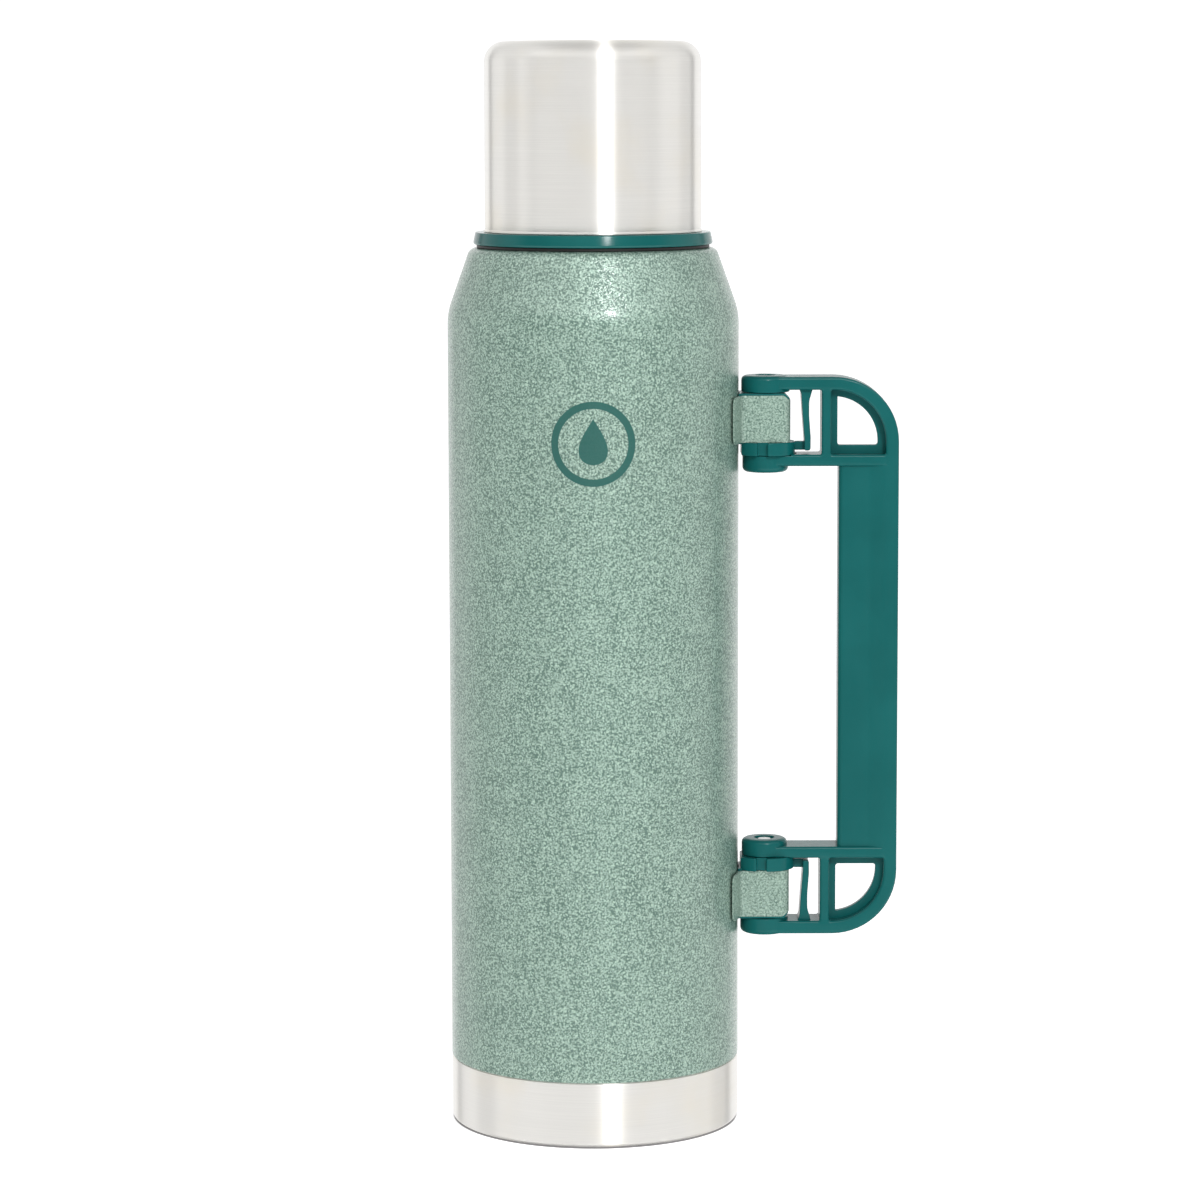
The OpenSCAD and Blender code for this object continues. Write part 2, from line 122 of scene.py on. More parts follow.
def hammertone(name="hammertone_paint", strength=1.0, shade=1.0):
    """Sage enamel that has drawn up into small pale cells with darker veins. A strength below
    one weakens the veins, and a shade below one darkens the cells as painted shade."""
    s = Shader(name, Metallic=0.45, IOR=1.5, Coat_Weight=0.8, Coat_Roughness=0.12)
    wobble = s.node("ShaderNodeTexNoise", {"Vector": s.place, "Scale": 900.0,
                                           "Detail": 2.0}).outputs["Color"]
    shift = s.node("ShaderNodeVectorMath", {0: wobble, 1: (0.0011,) * 3, 2: s.place},
                   operation="MULTIPLY_ADD").outputs[0]
    edge = s.node("ShaderNodeTexVoronoi", {"Vector": shift, "Scale": 1000.0},
                  feature="DISTANCE_TO_EDGE").outputs["Distance"]
    patches = s.noise(120.0, 3.0)
    worms = s.noise(1500.0, 1.0, shift)
    depth = s.math("ADD", s.ease(edge, 0.0, 0.3, 0.45, 0.0),
                   s.ease(worms, 0.34, 0.62, 0.85, 0.0))
    vein = s.math("MULTIPLY", depth, s.ease(patches, 0.3, 0.7, 0.9 * strength, 1.08 * strength),
                  clamp=True)
    # A shade below one darkens the cells: painted shade, used for the brackets
    cell = s.mix(s.noise(240.0, 2.0), (0.40 * shade, 0.555 * shade, 0.465 * shade, 1),
                 (0.45 * shade, 0.60 * shade, 0.51 * shade, 1))
    paint = s.mix(vein, cell, VEIN)
    # The print: a plain ring with a drop in it, wrapped round the front
    at = s.node("ShaderNodeSeparateXYZ", {0: s.place}).outputs
    front = s.math("MULTIPLY", s.math("ARCTAN2", at[0], s.math("MULTIPLY", at[1], -1.0)),
                   body_r)
    up = s.math("SUBTRACT", s.math("MULTIPLY", at[2], 1 / MM), print_z)
    away = s.math("SQRT", s.math("ADD", s.math("MULTIPLY", front, front),
                                 s.math("MULTIPLY", up, up)))
    ring = s.ease(s.math("ABSOLUTE", s.math("SUBTRACT", away, PRINT_RING)),
                  PRINT_HALF, PRINT_HALF + 0.15, 1.0, 0.0)
    t = s.math("DIVIDE", s.math("ADD", up, DROP_FOOT), DROP_TALL, clamp=True)
    wide = s.math("MULTIPLY", s.math("SQRT", t),
                  s.math("POWER", s.math("SUBTRACT", 1.0, t), 1.15))
    drop = s.ease(s.math("SUBTRACT", s.math("MULTIPLY", wide, DROP_WIDE),
                         s.math("ABSOLUTE", front)), -0.07, 0.07)
    printed = s.math("MAXIMUM", ring, drop)
    s.set(Base_Color=s.mix(printed, paint, PRINT),
          Roughness=s.ease(vein, 0.0, 1.0, 0.48, 0.6),
          Normal=s.bump(s.math("MULTIPLY", vein, -1.0), 0.00009, 0.7),
          Coat_Normal=s.bump(s.math("MULTIPLY", vein, -1.0), 0.00006, 0.6))
    return s


def brushed(name, tint, rough, blotch=0.06):
    """Lathe-brushed steel: fine scratches round the axis stretch its highlights upward."""
    s = Shader(name, Metallic=1.0, Anisotropic=1.0, Anisotropic_Rotation=0.25)
    lines = s.noise(1.0, 3.0, s.scaled((26.0, 26.0, 7400.0)), 0.65)
    broad = s.noise(1.0, 2.0, s.scaled((14.0, 14.0, 700.0)))
    clouds = s.noise(38.0, 3.0)
    dark = tuple(v * (1 - blotch) for v in tint) + (1,)
    warm = (tint[0] * (1 - blotch / 2), tint[1] * (1 - blotch), tint[2] * (1 - 2 * blotch), 1)
    colour = s.mix(s.ease(lines, 0.35, 0.7), dark, tuple(tint) + (1,))
    colour = s.mix(s.ease(clouds, 0.45, 0.75, 0.0, 0.7), colour, warm)
    tangent = s.node("ShaderNodeTangent", direction_type="RADIAL", axis="Z").outputs[0]
    grain = s.math("ADD", s.math("MULTIPLY", lines, 0.7), s.math("MULTIPLY", broad, 0.3))
    s.set(Base_Color=colour, Tangent=tangent,
          Roughness=s.ease(grain, 0.3, 0.7, rough - 0.03, rough + 0.04),
          Normal=s.bump(grain, 0.000012, 0.5))
    return s


def moulded(name, colour, rough, grain=0.00002, shine=0.17):
    """Injection-moulded plastic with a faint flow and a fine tool texture."""
    s = Shader(name, IOR=1.5, Specular_IOR_Level=shine)
    flow = s.noise(42.0, 3.0)
    skin = s.noise(1900.0, 2.0)
    scuffs = s.noise(1.0, 2.0, s.scaled((420.0, 420.0, 60.0)))
    pale = tuple(min(1.0, v * 1.06 + 0.001) for v in colour) + (1,)
    deep = tuple(v * 0.94 for v in colour) + (1,)
    s.set(Base_Color=s.mix(s.ease(flow, 0.3, 0.7), deep, pale),
          Roughness=s.ease(scuffs, 0.25, 0.75, rough - 0.02, rough + 0.02),
          Normal=s.bump(skin, grain, 0.5))
    return s


def plain(name, low, high, scale, rough, metallic=0.0, depth=0.00003, stretch=(1, 1, 1)):
    """A mottled surface for rubber, foam, foil and the like."""
    s = Shader(name, Metallic=metallic)
    fine = s.noise(scale, 3.0, s.scaled(stretch))
    s.set(Base_Color=s.mix(s.ease(fine, 0.3, 0.7), low + (1,), high + (1,)),
          Roughness=s.ease(fine, 0.2, 0.8, rough - 0.05, rough + 0.06),
          Normal=s.bump(fine, depth, 0.6))
    return s


shell_lo, shell_hi = span("outer_shell")
body_r = shell_hi[0]
print_z = shell_lo[2] + 217.5     # height of the print's middle
TEAL = (0.004, 0.105, 0.103)
INSIDE_TEAL = (0.009, 0.110, 0.106)
MATERIALS = {
    "hammertone_paint": hammertone(),
    "brushed_outer": brushed("brushed_outer", (0.86, 0.845, 0.81), 0.34),
    "steel_inner": brushed("steel_inner", (0.70, 0.70, 0.69), 0.33, 0.04),
    "pin_steel": plain("pin_steel", (0.62, 0.62, 0.61), (0.76, 0.76, 0.75), 800.0, 0.2, 1.0,
                       0.000008),
    "handle_plastic": moulded("handle_plastic", TEAL, 0.25),
    "collar_plastic": moulded("collar_plastic", (0.005, 0.108, 0.103), 0.12, 0.000004, 0.22),
    "liner_plastic": moulded("liner_plastic", INSIDE_TEAL, 0.3),
    "stopper_plastic": moulded("stopper_plastic", INSIDE_TEAL, 0.32),
    "seal_rubber": plain("seal_rubber", (0.004, 0.004, 0.004), (0.009, 0.009, 0.009),
                         1500.0, 0.5),
    "foil": plain("foil", (0.66, 0.66, 0.67), (0.84, 0.84, 0.84), 160.0, 0.2, 1.0, 0.0002),
    "braze": plain("braze", (0.30, 0.29, 0.27), (0.46, 0.45, 0.43), 700.0, 0.5, 1.0),
    "foam": plain("foam", (0.74, 0.68, 0.50), (0.86, 0.81, 0.64), 1400.0, 0.85,
                  depth=0.0002),
}


# ---------------------------------------------------------------- mesh tools
def arc(x, y, r, start, end, step=9.0):
    """Points round (x, y) from one angle to another, in degrees."""
    count = max(2, round(abs(end - start) / step))
    turn = [radians(start + (end - start) * i / count) for i in range(count + 1)]
    return [(x + r * cos(a), y + r * sin(a)) for a in turn]


def rounded(corners, closed=True, step=18.0):
    """Corners (x, y, radius) as points, each corner rounded; two numbers keep it sharp."""
    points = []
    for i, corner in enumerate(corners):
        if len(corner) == 2 or not closed and i in (0, len(corners) - 1):
            points.append(tuple(corner[:2]))
            continue
        here = Vector(corner[:2])
        a = (Vector(corners[i - 1][:2]) - here).normalized()
        b = (Vector(corners[(i + 1) % len(corners)][:2]) - here).normalized()
        half = a.angle(b) / 2
        centre = here + (a + b).normalized() * (corner[2] / sin(half))
        start, end = here + a * (corner[2] / tan(half)), here + b * (corner[2] / tan(half))
        first = degrees(atan2(start.y - centre.y, start.x - centre.x))
        last = degrees(atan2(end.y - centre.y, end.x - centre.x))
        last = first + (last - first + 180) % 360 - 180
        points += arc(centre.x, centre.y, corner[2], first, last, step)
    return points


def solid(name, points, faces):
    """A mesh object from points in millimetres, its faces turned outward."""
    mesh = bpy.data.meshes.new(name)
    mesh.from_pydata([[value * MM for value in p] for p in points], [], faces)
    mesh.update()
    made = bpy.data.objects.new(name, mesh)
    bpy.context.collection.objects.link(made)
    if signed_volume(mesh) < 0:
        mesh.flip_normals()
    return made


def signed_volume(mesh):
    mesh.calc_loop_triangles()
    points = [v.co for v in mesh.vertices]
    return sum(points[t.vertices[0]].dot(points[t.vertices[1]].cross(points[t.vertices[2]]))
               for t in mesh.loop_triangles)


def lathe(name, line, steps=180, centre=(0.0, 0.0)):
    """Turns a closed outline of (radius, height) about an upright axis. A third item
    in a point is a function of angle and height that moves the wall outward."""
    points, rows, faces = [], [], []
    for r, z, *lift in line:
        if r < 1e-6:
            rows.append([len(points)])
            points.append((centre[0], centre[1], z))
            continue
        rows.append(list(range(len(points), len(points) + steps)))
        for i in range(steps):
            a = 2 * pi * i / steps
            at = r + (lift[0](degrees(a), z) if lift else 0.0)
            points.append((centre[0] + at * cos(a), centre[1] + at * sin(a), z))
    pairs = list(zip(rows, rows[1:]))
    if len(rows[0]) > 1 and len(rows[-1]) > 1:
        pairs.append((rows[-1], rows[0]))
    for low, high in pairs:
        for i in range(steps):
            j = (i + 1) % steps
            if len(low) == 1 and len(high) == 1:
                break
            if len(low) == 1:
                faces.append((low[0], high[j], high[i]))
            elif len(high) == 1:
                faces.append((low[i], low[j], high[0]))
            else:
                faces.append((low[i], low[j], high[j], high[i]))
    return solid(name, points, faces)


def inset(loop, distance):
    """The loop moved to its left by a distance, corners kept."""
    moved = []
    for i, point in enumerate(loop):
        here = Vector(point)
        a = (here - Vector(loop[i - 1])).normalized()
        b = (Vector(loop[(i + 1) % len(loop)]) - here).normalized()
        left_a, left_b = Vector((-a.y, a.x)), Vector((-b.y, b.x))
        moved.append(here + (left_a + left_b) * (distance / (1 + left_a.dot(left_b))))
    return moved


def plate(name, loops, low, high, edge, put, rings=3):
    """A flat solid between two levels with rounded edges. The first loop is its outside,
    the others holes; put(x, y, level) gives the place in millimetres."""
    area = [sum(a[0] * b[1] - b[0] * a[1] for a, b in zip(l, l[1:] + l[:1])) for l in loops]
    loops = [l if (size > 0) == (i == 0) else l[::-1]
             for i, (l, size) in enumerate(zip(loops, area))]
    turn = [radians(90 * k / rings) for k in range(rings + 1)]
    levels = [(low + edge * (1 - cos(a)), edge * (1 - sin(a))) for a in turn]
    levels += [(high - (level - low), back) for level, back in levels[::-1]]
    points, faces, count = [], [], sum(len(l) for l in loops)
    for level, back in levels:
        for loop in loops:
            points += [put(p[0], p[1], level) for p in inset(loop, back)]
    for k in range(len(levels) - 1):
        first = k * count
        for loop in loops:
            for i in range(len(loop)):
                j = (i + 1) % len(loop)
                faces.append((first + i, first + j, first + count + j, first + count + i))
            first += len(loop)
    flat = [[Vector((*p, 0)) for p in inset(loop, edge)] for loop in loops]
    last = (len(levels) - 1) * count
    for a, b, c in tessellate_polygon(flat):
        faces += [(a, c, b), (last + a, last + b, last + c)]
    return solid(name, points, faces)


def baked(obj):
    """The object with its modifiers made part of its mesh."""
    graph = bpy.context.evaluated_depsgraph_get()
    mesh = bpy.data.meshes.new_from_object(obj.evaluated_get(graph))
    old = obj.data
    obj.modifiers.clear()
    obj.data = mesh
    bpy.data.meshes.remove(old)
    return obj


def join(obj, operation, *others):
    """Unites the object with others, or cuts them out of it."""
    for other in others:
        cut = obj.modifiers.new("cut", "BOOLEAN")
        cut.operation, cut.solver, cut.object = operation, "EXACT", other
        baked(obj)
        bpy.data.objects.remove(other)
    return obj


def fit(obj, node, crease=38.0):
    """Puts the piece in a CAD node's place, with that node's body and finish."""
    obj.name = node + "_look"
    for face in obj.data.polygons:
        face.use_smooth = True
    obj.data.set_sharp_from_angle(angle=radians(crease))
    even = obj.modifiers.new("even", "WEIGHTED_NORMAL")
    even.keep_sharp = True
    obj.data.materials.clear()
    obj.data.materials.append(MATERIALS[slot_of[node]].material)
    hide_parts(node)
    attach(obj, body_of[node])
    return obj


def thread(height, low, high, foot, tip, lead, starts, phase):
    """How far a set of helical ridges stands out of its wall, by angle and height."""
    sweep = int((high - low - foot) / (lead / 36)) * 10
    flank = (foot - tip) / 2

    def lift(angle, z):
        most = 0.0
        for start in range(starts):
            run = (angle - phase - start * 360 / starts) % 360
            while run <= sweep:
                off = abs(z - low - foot / 2 - lead * run / 360)
                side = min(1.0, max(0.0, (foot / 2 - off) / flank))
                end = min(1.0, max(0.0, min(run, sweep - run) / 26))
                most = max(most, side * side * (3 - 2 * side) * end * (2 - end))
                run += 360
        return most * height
    return lift


def wall(r, low, high, gap, lift):
    """Rows of a threaded wall, close enough to draw its ridges."""
    count = round(abs(high - low) / gap)
    return [(r, low + (high - low) * i / count, lift) for i in range(count + 1)]


# ---------------------------------------------------------------- body and base
neck_top = shell_hi[2]
shoulder_z = span("collar_gasket")[0][2]
mouth_z = span("inner_vessel")[1][2]
SHELL = 0.6                       # steel of the shell and the base
BEND_R, BEND_DROP = 24.0, 26.2    # bend from wall to taper, its centre below the shoulder
TAPER = 19.5                      # degrees from upright
CORNER_R = 3.0
bend = (body_r - BEND_R, shoulder_z - BEND_DROP)
corner = (bend[0] + (BEND_R - CORNER_R - (BEND_DROP - CORNER_R) * sin(radians(TAPER)))
          / cos(radians(TAPER)), shoulder_z - CORNER_R)
neck_r = 28.6


def shell_line(t):
    """The painted shell's wall from its straight part up to the neck, moved in by t."""
    return (arc(*bend, BEND_R - t, 0, TAPER, 2.0) + arc(*corner, CORNER_R - t, TAPER, 90, 8)
            + arc(neck_r + 1, shoulder_z + 1, 1.0 + t, 270, 180, 18)
            + [(neck_r - t, neck_top)])


joint_z = shell_lo[2]
EDGE = 0.45                       # rounding on both sides of the joint
foot_edge = ([(body_r - SHELL, joint_z)]
             + arc(body_r - EDGE, joint_z + EDGE, EDGE, -90, 0, 15))
fit(lathe("shell", foot_edge + shell_line(0) + shell_line(SHELL)[::-1], 240), "outer_shell")

band_r = span("base_cup")[1][0]
lip_r, lip_top = body_r - SHELL - 0.02, joint_z + 5
band_top = joint_z - 0.2
FOOT_R, RECESS = 1.4, 2.6         # rounding under the foot, depth of the recess
base_outer = ([(lip_r, lip_top), (lip_r, band_top)]
              + arc(band_r - EDGE, band_top - EDGE, EDGE, 90, 0, 15)
              + arc(band_r - FOOT_R, FOOT_R, FOOT_R, 0, -90, 9)
              + rounded([(band_r - 2, 0), (band_r - 4.2, 0, 0.6),
                         (band_r - 5.6, RECESS, 0.5), (0, RECESS)], closed=False)[1:])
base_inner = ([(lip_r - SHELL, lip_top), (lip_r - SHELL, band_top - SHELL),
               (band_r - SHELL, band_top - SHELL)]
              + arc(band_r - FOOT_R, FOOT_R, FOOT_R - SHELL, 0, -90, 15)
              + [(band_r - 3.84, SHELL), (band_r - 5.24, RECESS + SHELL),
                 (0, RECESS + SHELL)])
fit(lathe("base", base_outer + base_inner[::-1], 240), "base_cup")

disc_r = span("base_disc")[1][0]
# The plate's underside with one raised ring, out to its rim and back along the top
disc = rounded([(0, 1.4), (12, 1.4, 1.0), (13.2, 1.75, 1.0), (24, 1.75, 1.0),
                (25.2, 1.4, 1.0), (disc_r - 1, 1.4, 0.4), (disc_r, RECESS),
                (disc_r - 0.6, RECESS), (disc_r - 1.6, 2.0, 0.3), (25.4, 2.0, 0.4),
                (24.2, 2.35, 0.4), (13.0, 2.35, 0.4), (11.8, 2.0, 0.4), (0, 2.0)],
               closed=False)
fit(lathe("disc", disc, 144), "base_disc")

# ---------------------------------------------------------------- inner vessel
vessel_r = span("inner_vessel")[1][0]
vessel_lo = span("inner_vessel")[0]
floor_z = span("inner_base")[0][2]
bore_r = 25.0
STEEL = 0.5                       # steel of the vessel and the cup
SLOPE, CROWN_R, THROAT_R = 60, 16.0, 6.0
crown = (vessel_r - CROWN_R, mouth_z - 54)
throat_x = bore_r + STEEL + THROAT_R
crown_end = (crown[0] + CROWN_R * cos(radians(SLOPE)),
             crown[1] + CROWN_R * sin(radians(SLOPE)))
run = (crown_end[0] - throat_x + THROAT_R * cos(radians(SLOPE))) / sin(radians(SLOPE))
throat = (throat_x,
          crown_end[1] + run * cos(radians(SLOPE)) + THROAT_R * sin(radians(SLOPE)))


def vessel_line(t):
    """The vessel's shoulder and throat, moved in by t."""
    return (arc(*crown, CROWN_R - t, 0, SLOPE, 6)
            + arc(*throat, THROAT_R + t, 180 + SLOPE, 180, 10))


PLUG_LEAD, CUP_LEAD = 6.0, 12.0   # rise in one turn
thread_low = mouth_z - 15.5
neck_ridges = thread(-1.1, thread_low, mouth_z - 4, 1.3, 0.6, PLUG_LEAD, 2,
                     360 * (thread_low - (mouth_z - 22)) / PLUG_LEAD + 90)
lip = rounded([(bore_r + STEEL, neck_top), (neck_r, neck_top, 0.15),
               (neck_r, mouth_z, 0.45), (bore_r, mouth_z, 0.5),
               (bore_r, mouth_z - 2)], closed=False, step=22)
fit(lathe("vessel", [(vessel_r, vessel_lo[2])] + vessel_line(0) + lip[:-1]
          + wall(bore_r, mouth_z - 3.6, mouth_z - 16, 0.22, neck_ridges)
          + vessel_line(STEEL)[::-1] + [(vessel_r - STEEL, vessel_lo[2])], 180),
    "inner_vessel")
weld_z = span("inner_base")[1][2]
DISH_R = 10
dish = (vessel_r - DISH_R, floor_z + DISH_R)
fit(lathe("floor", [(0, floor_z)] + arc(*dish, DISH_R, -90, 0, 9)
          + [(vessel_r, weld_z), (vessel_r - STEEL, weld_z)]
          + arc(*dish, DISH_R - STEEL, 0, -90, 9) + [(0, floor_z + STEEL)], 144),
    "inner_base")

# ---------------------------------------------------------------- collar
gasket_lo, gasket_hi = span("collar_gasket")
gasket_bore = neck_r + 1.6
fit(lathe("gasket", rounded([(gasket_bore, gasket_lo[2]), (gasket_hi[0], gasket_lo[2], 0.35),
                             (gasket_hi[0], gasket_hi[2], 0.35), (gasket_bore, gasket_hi[2])],
                            closed=False), 180), "collar_gasket")
collar_lo, collar_hi = span("neck_collar")
ring_top = collar_lo[2] + 4.2
ring_r = collar_hi[0]
root_r = neck_r + 4
cup_ridges = thread(1.3, ring_top + 1, collar_hi[2] - 0.7, 1.8, 0.9, CUP_LEAD, 3, 0)
ring = rounded([(neck_r + 0.3, collar_lo[2]), (ring_r - 0.15, collar_lo[2], 0.4),
                (ring_r, collar_lo[2] + 0.8, 0.4), (ring_r - 0.7, ring_top, 0.45),
                (root_r, ring_top)], closed=False, step=15)
fit(lathe("collar", ring + wall(root_r, ring_top + 0.4, collar_hi[2] - 0.8, 0.2, cup_ridges)
          + rounded([(root_r, collar_hi[2] - 0.7), (root_r, collar_hi[2], 0.5),
                     (neck_r + 0.3, collar_hi[2])], closed=False)[1:], 216), "neck_collar")

# ---------------------------------------------------------------- cup
cup_hi = span("cup_shell")[1]
rim_z, cup_top = ring_top + 0.04, cup_hi[2]
cup_r = cup_hi[0] - 0.7
ROLL_R, DOME = 7.0, 0.4           # rounding into the top, and how far the top rises
cup_c = (cup_r - ROLL_R, cup_top - ROLL_R - DOME)


def dome(r, z, rows=6):
    """A slightly domed top from radius r to the axis."""
    return [(r * (1 - i / rows), z + DOME * (1 - (1 - i / rows) ** 2))
            for i in range(1, rows + 1)]


cup_outer = (rounded([(cup_r - 0.4, rim_z), (cup_r + 0.35, rim_z, 0.2),
                      (cup_r + 0.33, rim_z + 0.45, 0.3), (cup_r, rim_z + 1.0, 0.5),
                      (cup_r, rim_z + 8)], closed=False, step=14)
             + arc(*cup_c, ROLL_R, 0, 90, 6) + dome(cup_c[0], cup_top - DOME))
cup_inner = ([(cup_r - STEEL, rim_z)] + arc(*cup_c, ROLL_R - STEEL, 0, 90, 9)
             + dome(cup_c[0], cup_top - DOME - STEEL))
fit(lathe("cup", cup_outer + cup_inner[::-1], 240), "cup_shell")

liner_z = span("cup_liner")[0][2]
liner_r = span("cup_liner")[1][0]
liner_in = cup_r - 2.6
liner_ridges = thread(-1.2, liner_z + 0.5, collar_hi[2] - 0.7, 1.8, 0.9, CUP_LEAD, 3,
                      360 * (liner_z + 0.5 - ring_top - 1) / CUP_LEAD + 60)
fit(lathe("liner", [(liner_r, liner_z)] + arc(*cup_c, liner_r - cup_c[0], 0, 90, 9)
          + [(0, cup_c[1] + liner_r - cup_c[0]), (0, cup_c[1] + liner_in - cup_c[0])]
          + arc(*cup_c, liner_in - cup_c[0], 90, 0, 9)
          + wall(liner_in, collar_hi[2] - 0.4, liner_z + 0.3, 0.2, liner_ridges)
          + [(liner_in + 0.3, liner_z)], 216), "cup_liner")
seal_lo, seal_hi = span("cup_gasket")
fit(lathe("seal", rounded([(liner_in + 0.2, seal_lo[2], 0.4), (seal_hi[0], seal_lo[2], 0.4),
                           (seal_hi[0], seal_hi[2], 0.2), (liner_in + 0.2, seal_hi[2], 0.2)]),
          144), "cup_gasket")

# ---------------------------------------------------------------- stopper
plug_lo, plug_hi = span("stopper_body")
plug_z, knob_z, flange_r = plug_lo[2], plug_hi[2], plug_hi[0]
PLUG_WALL = 1.6
plug_r = bore_r - 1.6
core_r = plug_r - PLUG_WALL
flange_z = knob_z - 2.6           # underside of the flange
plug_ridges = thread(1.2, plug_z + 5, mouth_z - 6, 1.3, 0.6, PLUG_LEAD, 2, 0)
fit(lathe("plug", rounded([(0, plug_z), (plug_r, plug_z, 1.2), (plug_r, plug_z + 4.4)],
                          closed=False)
          + wall(plug_r, plug_z + 4.6, mouth_z - 5.6, 0.22, plug_ridges)
          + rounded([(plug_r, flange_z - 2), (plug_r, flange_z, 0.25),
                     (flange_r, flange_z, 0.4), (flange_r, knob_z, 0.7), (core_r, knob_z),
                     (core_r, plug_z + PLUG_WALL), (0, plug_z + PLUG_WALL)],
                    closed=False)[1:], 180),
    "stopper_body")
knob_lo, knob_hi = span("stopper_knob")
knob_r, knob_top = knob_hi[0], knob_hi[2]
FLUTE_STEP, FLUTE_DEEP, FLUTE_HALF = 18, 0.75, 2.0   # degrees apart, depth, half width


def flutes(share):
    """Finger flutes round the knob, share of their full depth."""
    def lift(angle, z):
        off = radians(abs((angle + FLUTE_STEP / 2) % FLUTE_STEP - FLUTE_STEP / 2)) * knob_r
        return -share * FLUTE_DEEP * (1 - min(1.0, off / FLUTE_HALF) ** 2) ** 2
    return lift


knob_line = ([(0, knob_lo[2]), (core_r - 0.1, knob_lo[2]), (core_r - 0.1, knob_z)]
             + [(knob_r - 0.8, knob_z, flutes(0.4)), (knob_r, knob_z + 0.7, flutes(0.8)),
                (knob_r, knob_z + 1.6, flutes(1)), (knob_r, knob_top - 2.2, flutes(1))]
             + [(r, z, flutes(max(0.0, 0.85 - 0.3 * i))) for i, (r, z) in enumerate(
                 arc(knob_r - 1.9, knob_top - 1.9, 1.9, 9, 90, 16))]
             + rounded([(knob_r - 3, knob_top), (knob_r - 4.6, knob_top, 0.6),
                        (knob_r - 5.6, knob_top - 1.1, 1.0), (0, knob_top - 1.5)],
                       closed=False)[1:])
fit(lathe("knob", knob_line, 240), "stopper_knob", 48.0)
ring_lo, ring_hi = span("stopper_seal")
fit(lathe("ring", rounded([(plug_r + 0.1, ring_lo[2], 0.3), (ring_hi[0], ring_lo[2], 0.3),
                           (ring_hi[0], ring_hi[2], 0.2), (plug_r + 0.1, ring_hi[2], 0.2)]),
          144), "stopper_seal")

# ---------------------------------------------------------------- handle
hinge = next(j for j in frame["joints"] if j["name"] == "handle_swing")["pos_m"]
hinge_x, mid_z = hinge[0] / MM, hinge[2] / MM
# Heights from the handle's middle, and distances u out from the hinge
ARM, BAR_TOP, BAR_LOW = 97.0, 70.3, 66.3   # outer arm, inner bar's two sides
reach = span("handle_frame")[1][0] - hinge_x
CORNER = 22.4                              # outer rounding of the frame
THICK = 4.5
HALF_DEEP = 7.0                            # half the frame, front to back
POST_IN, POST_OUT = 19.1, 22.3             # upright between the arm and the inner bar
BOSS_OUT, BOSS_IN = 8.35, 7.9              # radii of the two bosses of a hinge
inner_u = reach - THICK
bow_c = (reach - CORNER, ARM - CORNER)


def upright(side):
    """Places (distance from the hinge, height from the middle, depth) in the frame."""
    return lambda u, h, y: (hinge_x + u, y, mid_z + side * h)


def level(side):
    """Places a plan point at a height from the middle of the handle."""
    return lambda x, y, h: (x, y, mid_z + side * h)


def on_hinge(name, side, corners, steps=64):
    """A piece turned about the hinge line, its heights counted from the middle."""
    return lathe(name, [(r, mid_z + side * h) for r, h in rounded(corners, closed=False)],
                 steps, (hinge_x, 0))


half = [(0, BAR_TOP), (POST_IN, BAR_TOP, 0.7), (POST_IN, ARM - THICK, 0.7), (0, ARM - THICK),
        (0, ARM), (reach, ARM, CORNER)]
frame_loop = rounded([(inner_u, -BAR_LOW, 1.0), (inner_u, BAR_LOW, 1.0), (0, BAR_LOW)] + half
                     + [(c[0], -c[1], *c[2:]) for c in half[::-1]] + [(0, -BAR_LOW)], step=6)
window = rounded([(POST_OUT, BAR_TOP, 0.7), (inner_u, BAR_TOP, 0.7),
                  (inner_u, ARM - THICK, CORNER - THICK), (POST_OUT, ARM - THICK, 0.7)],
                 step=6)
handle = plate("handle", [frame_loop, window, [(u, -h) for u, h in window]], -HALF_DEEP,
               HALF_DEEP, 0.9, upright(1), 4)
adds, cuts = [], []
SINK = 0.9
WEB_R = 15.35                              # opening in the web, round bow_c
PIN_R = 2.5
CAM_R, CAM_LOW = 10.4, 69.8                # cam disc, and the boss face it lies against
SWEEP_R = CAM_R + 0.5                      # room for the cam disc to turn
for side in (1, -1):
    # Thin web that narrows the window; it runs SINK into the frame round it
    web = rounded([(POST_OUT - 0.7, BAR_TOP - SINK), (inner_u + SINK, BAR_TOP - SINK),
                   (inner_u + SINK, ARM - THICK + SINK, CORNER - THICK + SINK),
                   (POST_OUT - 0.7, ARM - THICK + SINK)], step=6)
    hole = (rounded([(24.8, 80), (24.8, 73.2, 0.9), (38.65, 73.2, 0.9), (38.65, 74.6)],
                    closed=False)[1:]
            + arc(*bow_c, WEB_R, 4, degrees(acos(1.5 / WEB_R)), 5))
    adds.append(plate("web", [web, hole], -1.5, 1.5, 0.35, upright(side)))
    top = ARM + 0.3
    adds.append(on_hinge("boss", side, [(0, 91.6), (BOSS_OUT, 91.6, 0.3),
                                        (BOSS_OUT, top, 1.7), (0, top)], 96))
    adds.append(on_hinge("boss", side, [(0, 64), (BOSS_IN, 64, 1.7),
                                        (BOSS_IN, CAM_LOW, 0.3), (0, CAM_LOW)], 96))
    cuts.append(on_hinge("bore", side, [
        (0, 62), (4.0, 62), (3.5, 64.4, 0.5), (3.5, 65.1), (PIN_R, 65.1), (PIN_R, top - 1.1),
        (3.5, top - 1.1), (3.5, top - 0.4, 0.5), (4.0, top + 2), (0, top + 2)]))
    cuts.append(on_hinge("sweep", side, [(0, CAM_LOW), (SWEEP_R, CAM_LOW), (SWEEP_R, 75),
                                         (0, 75)], 96))


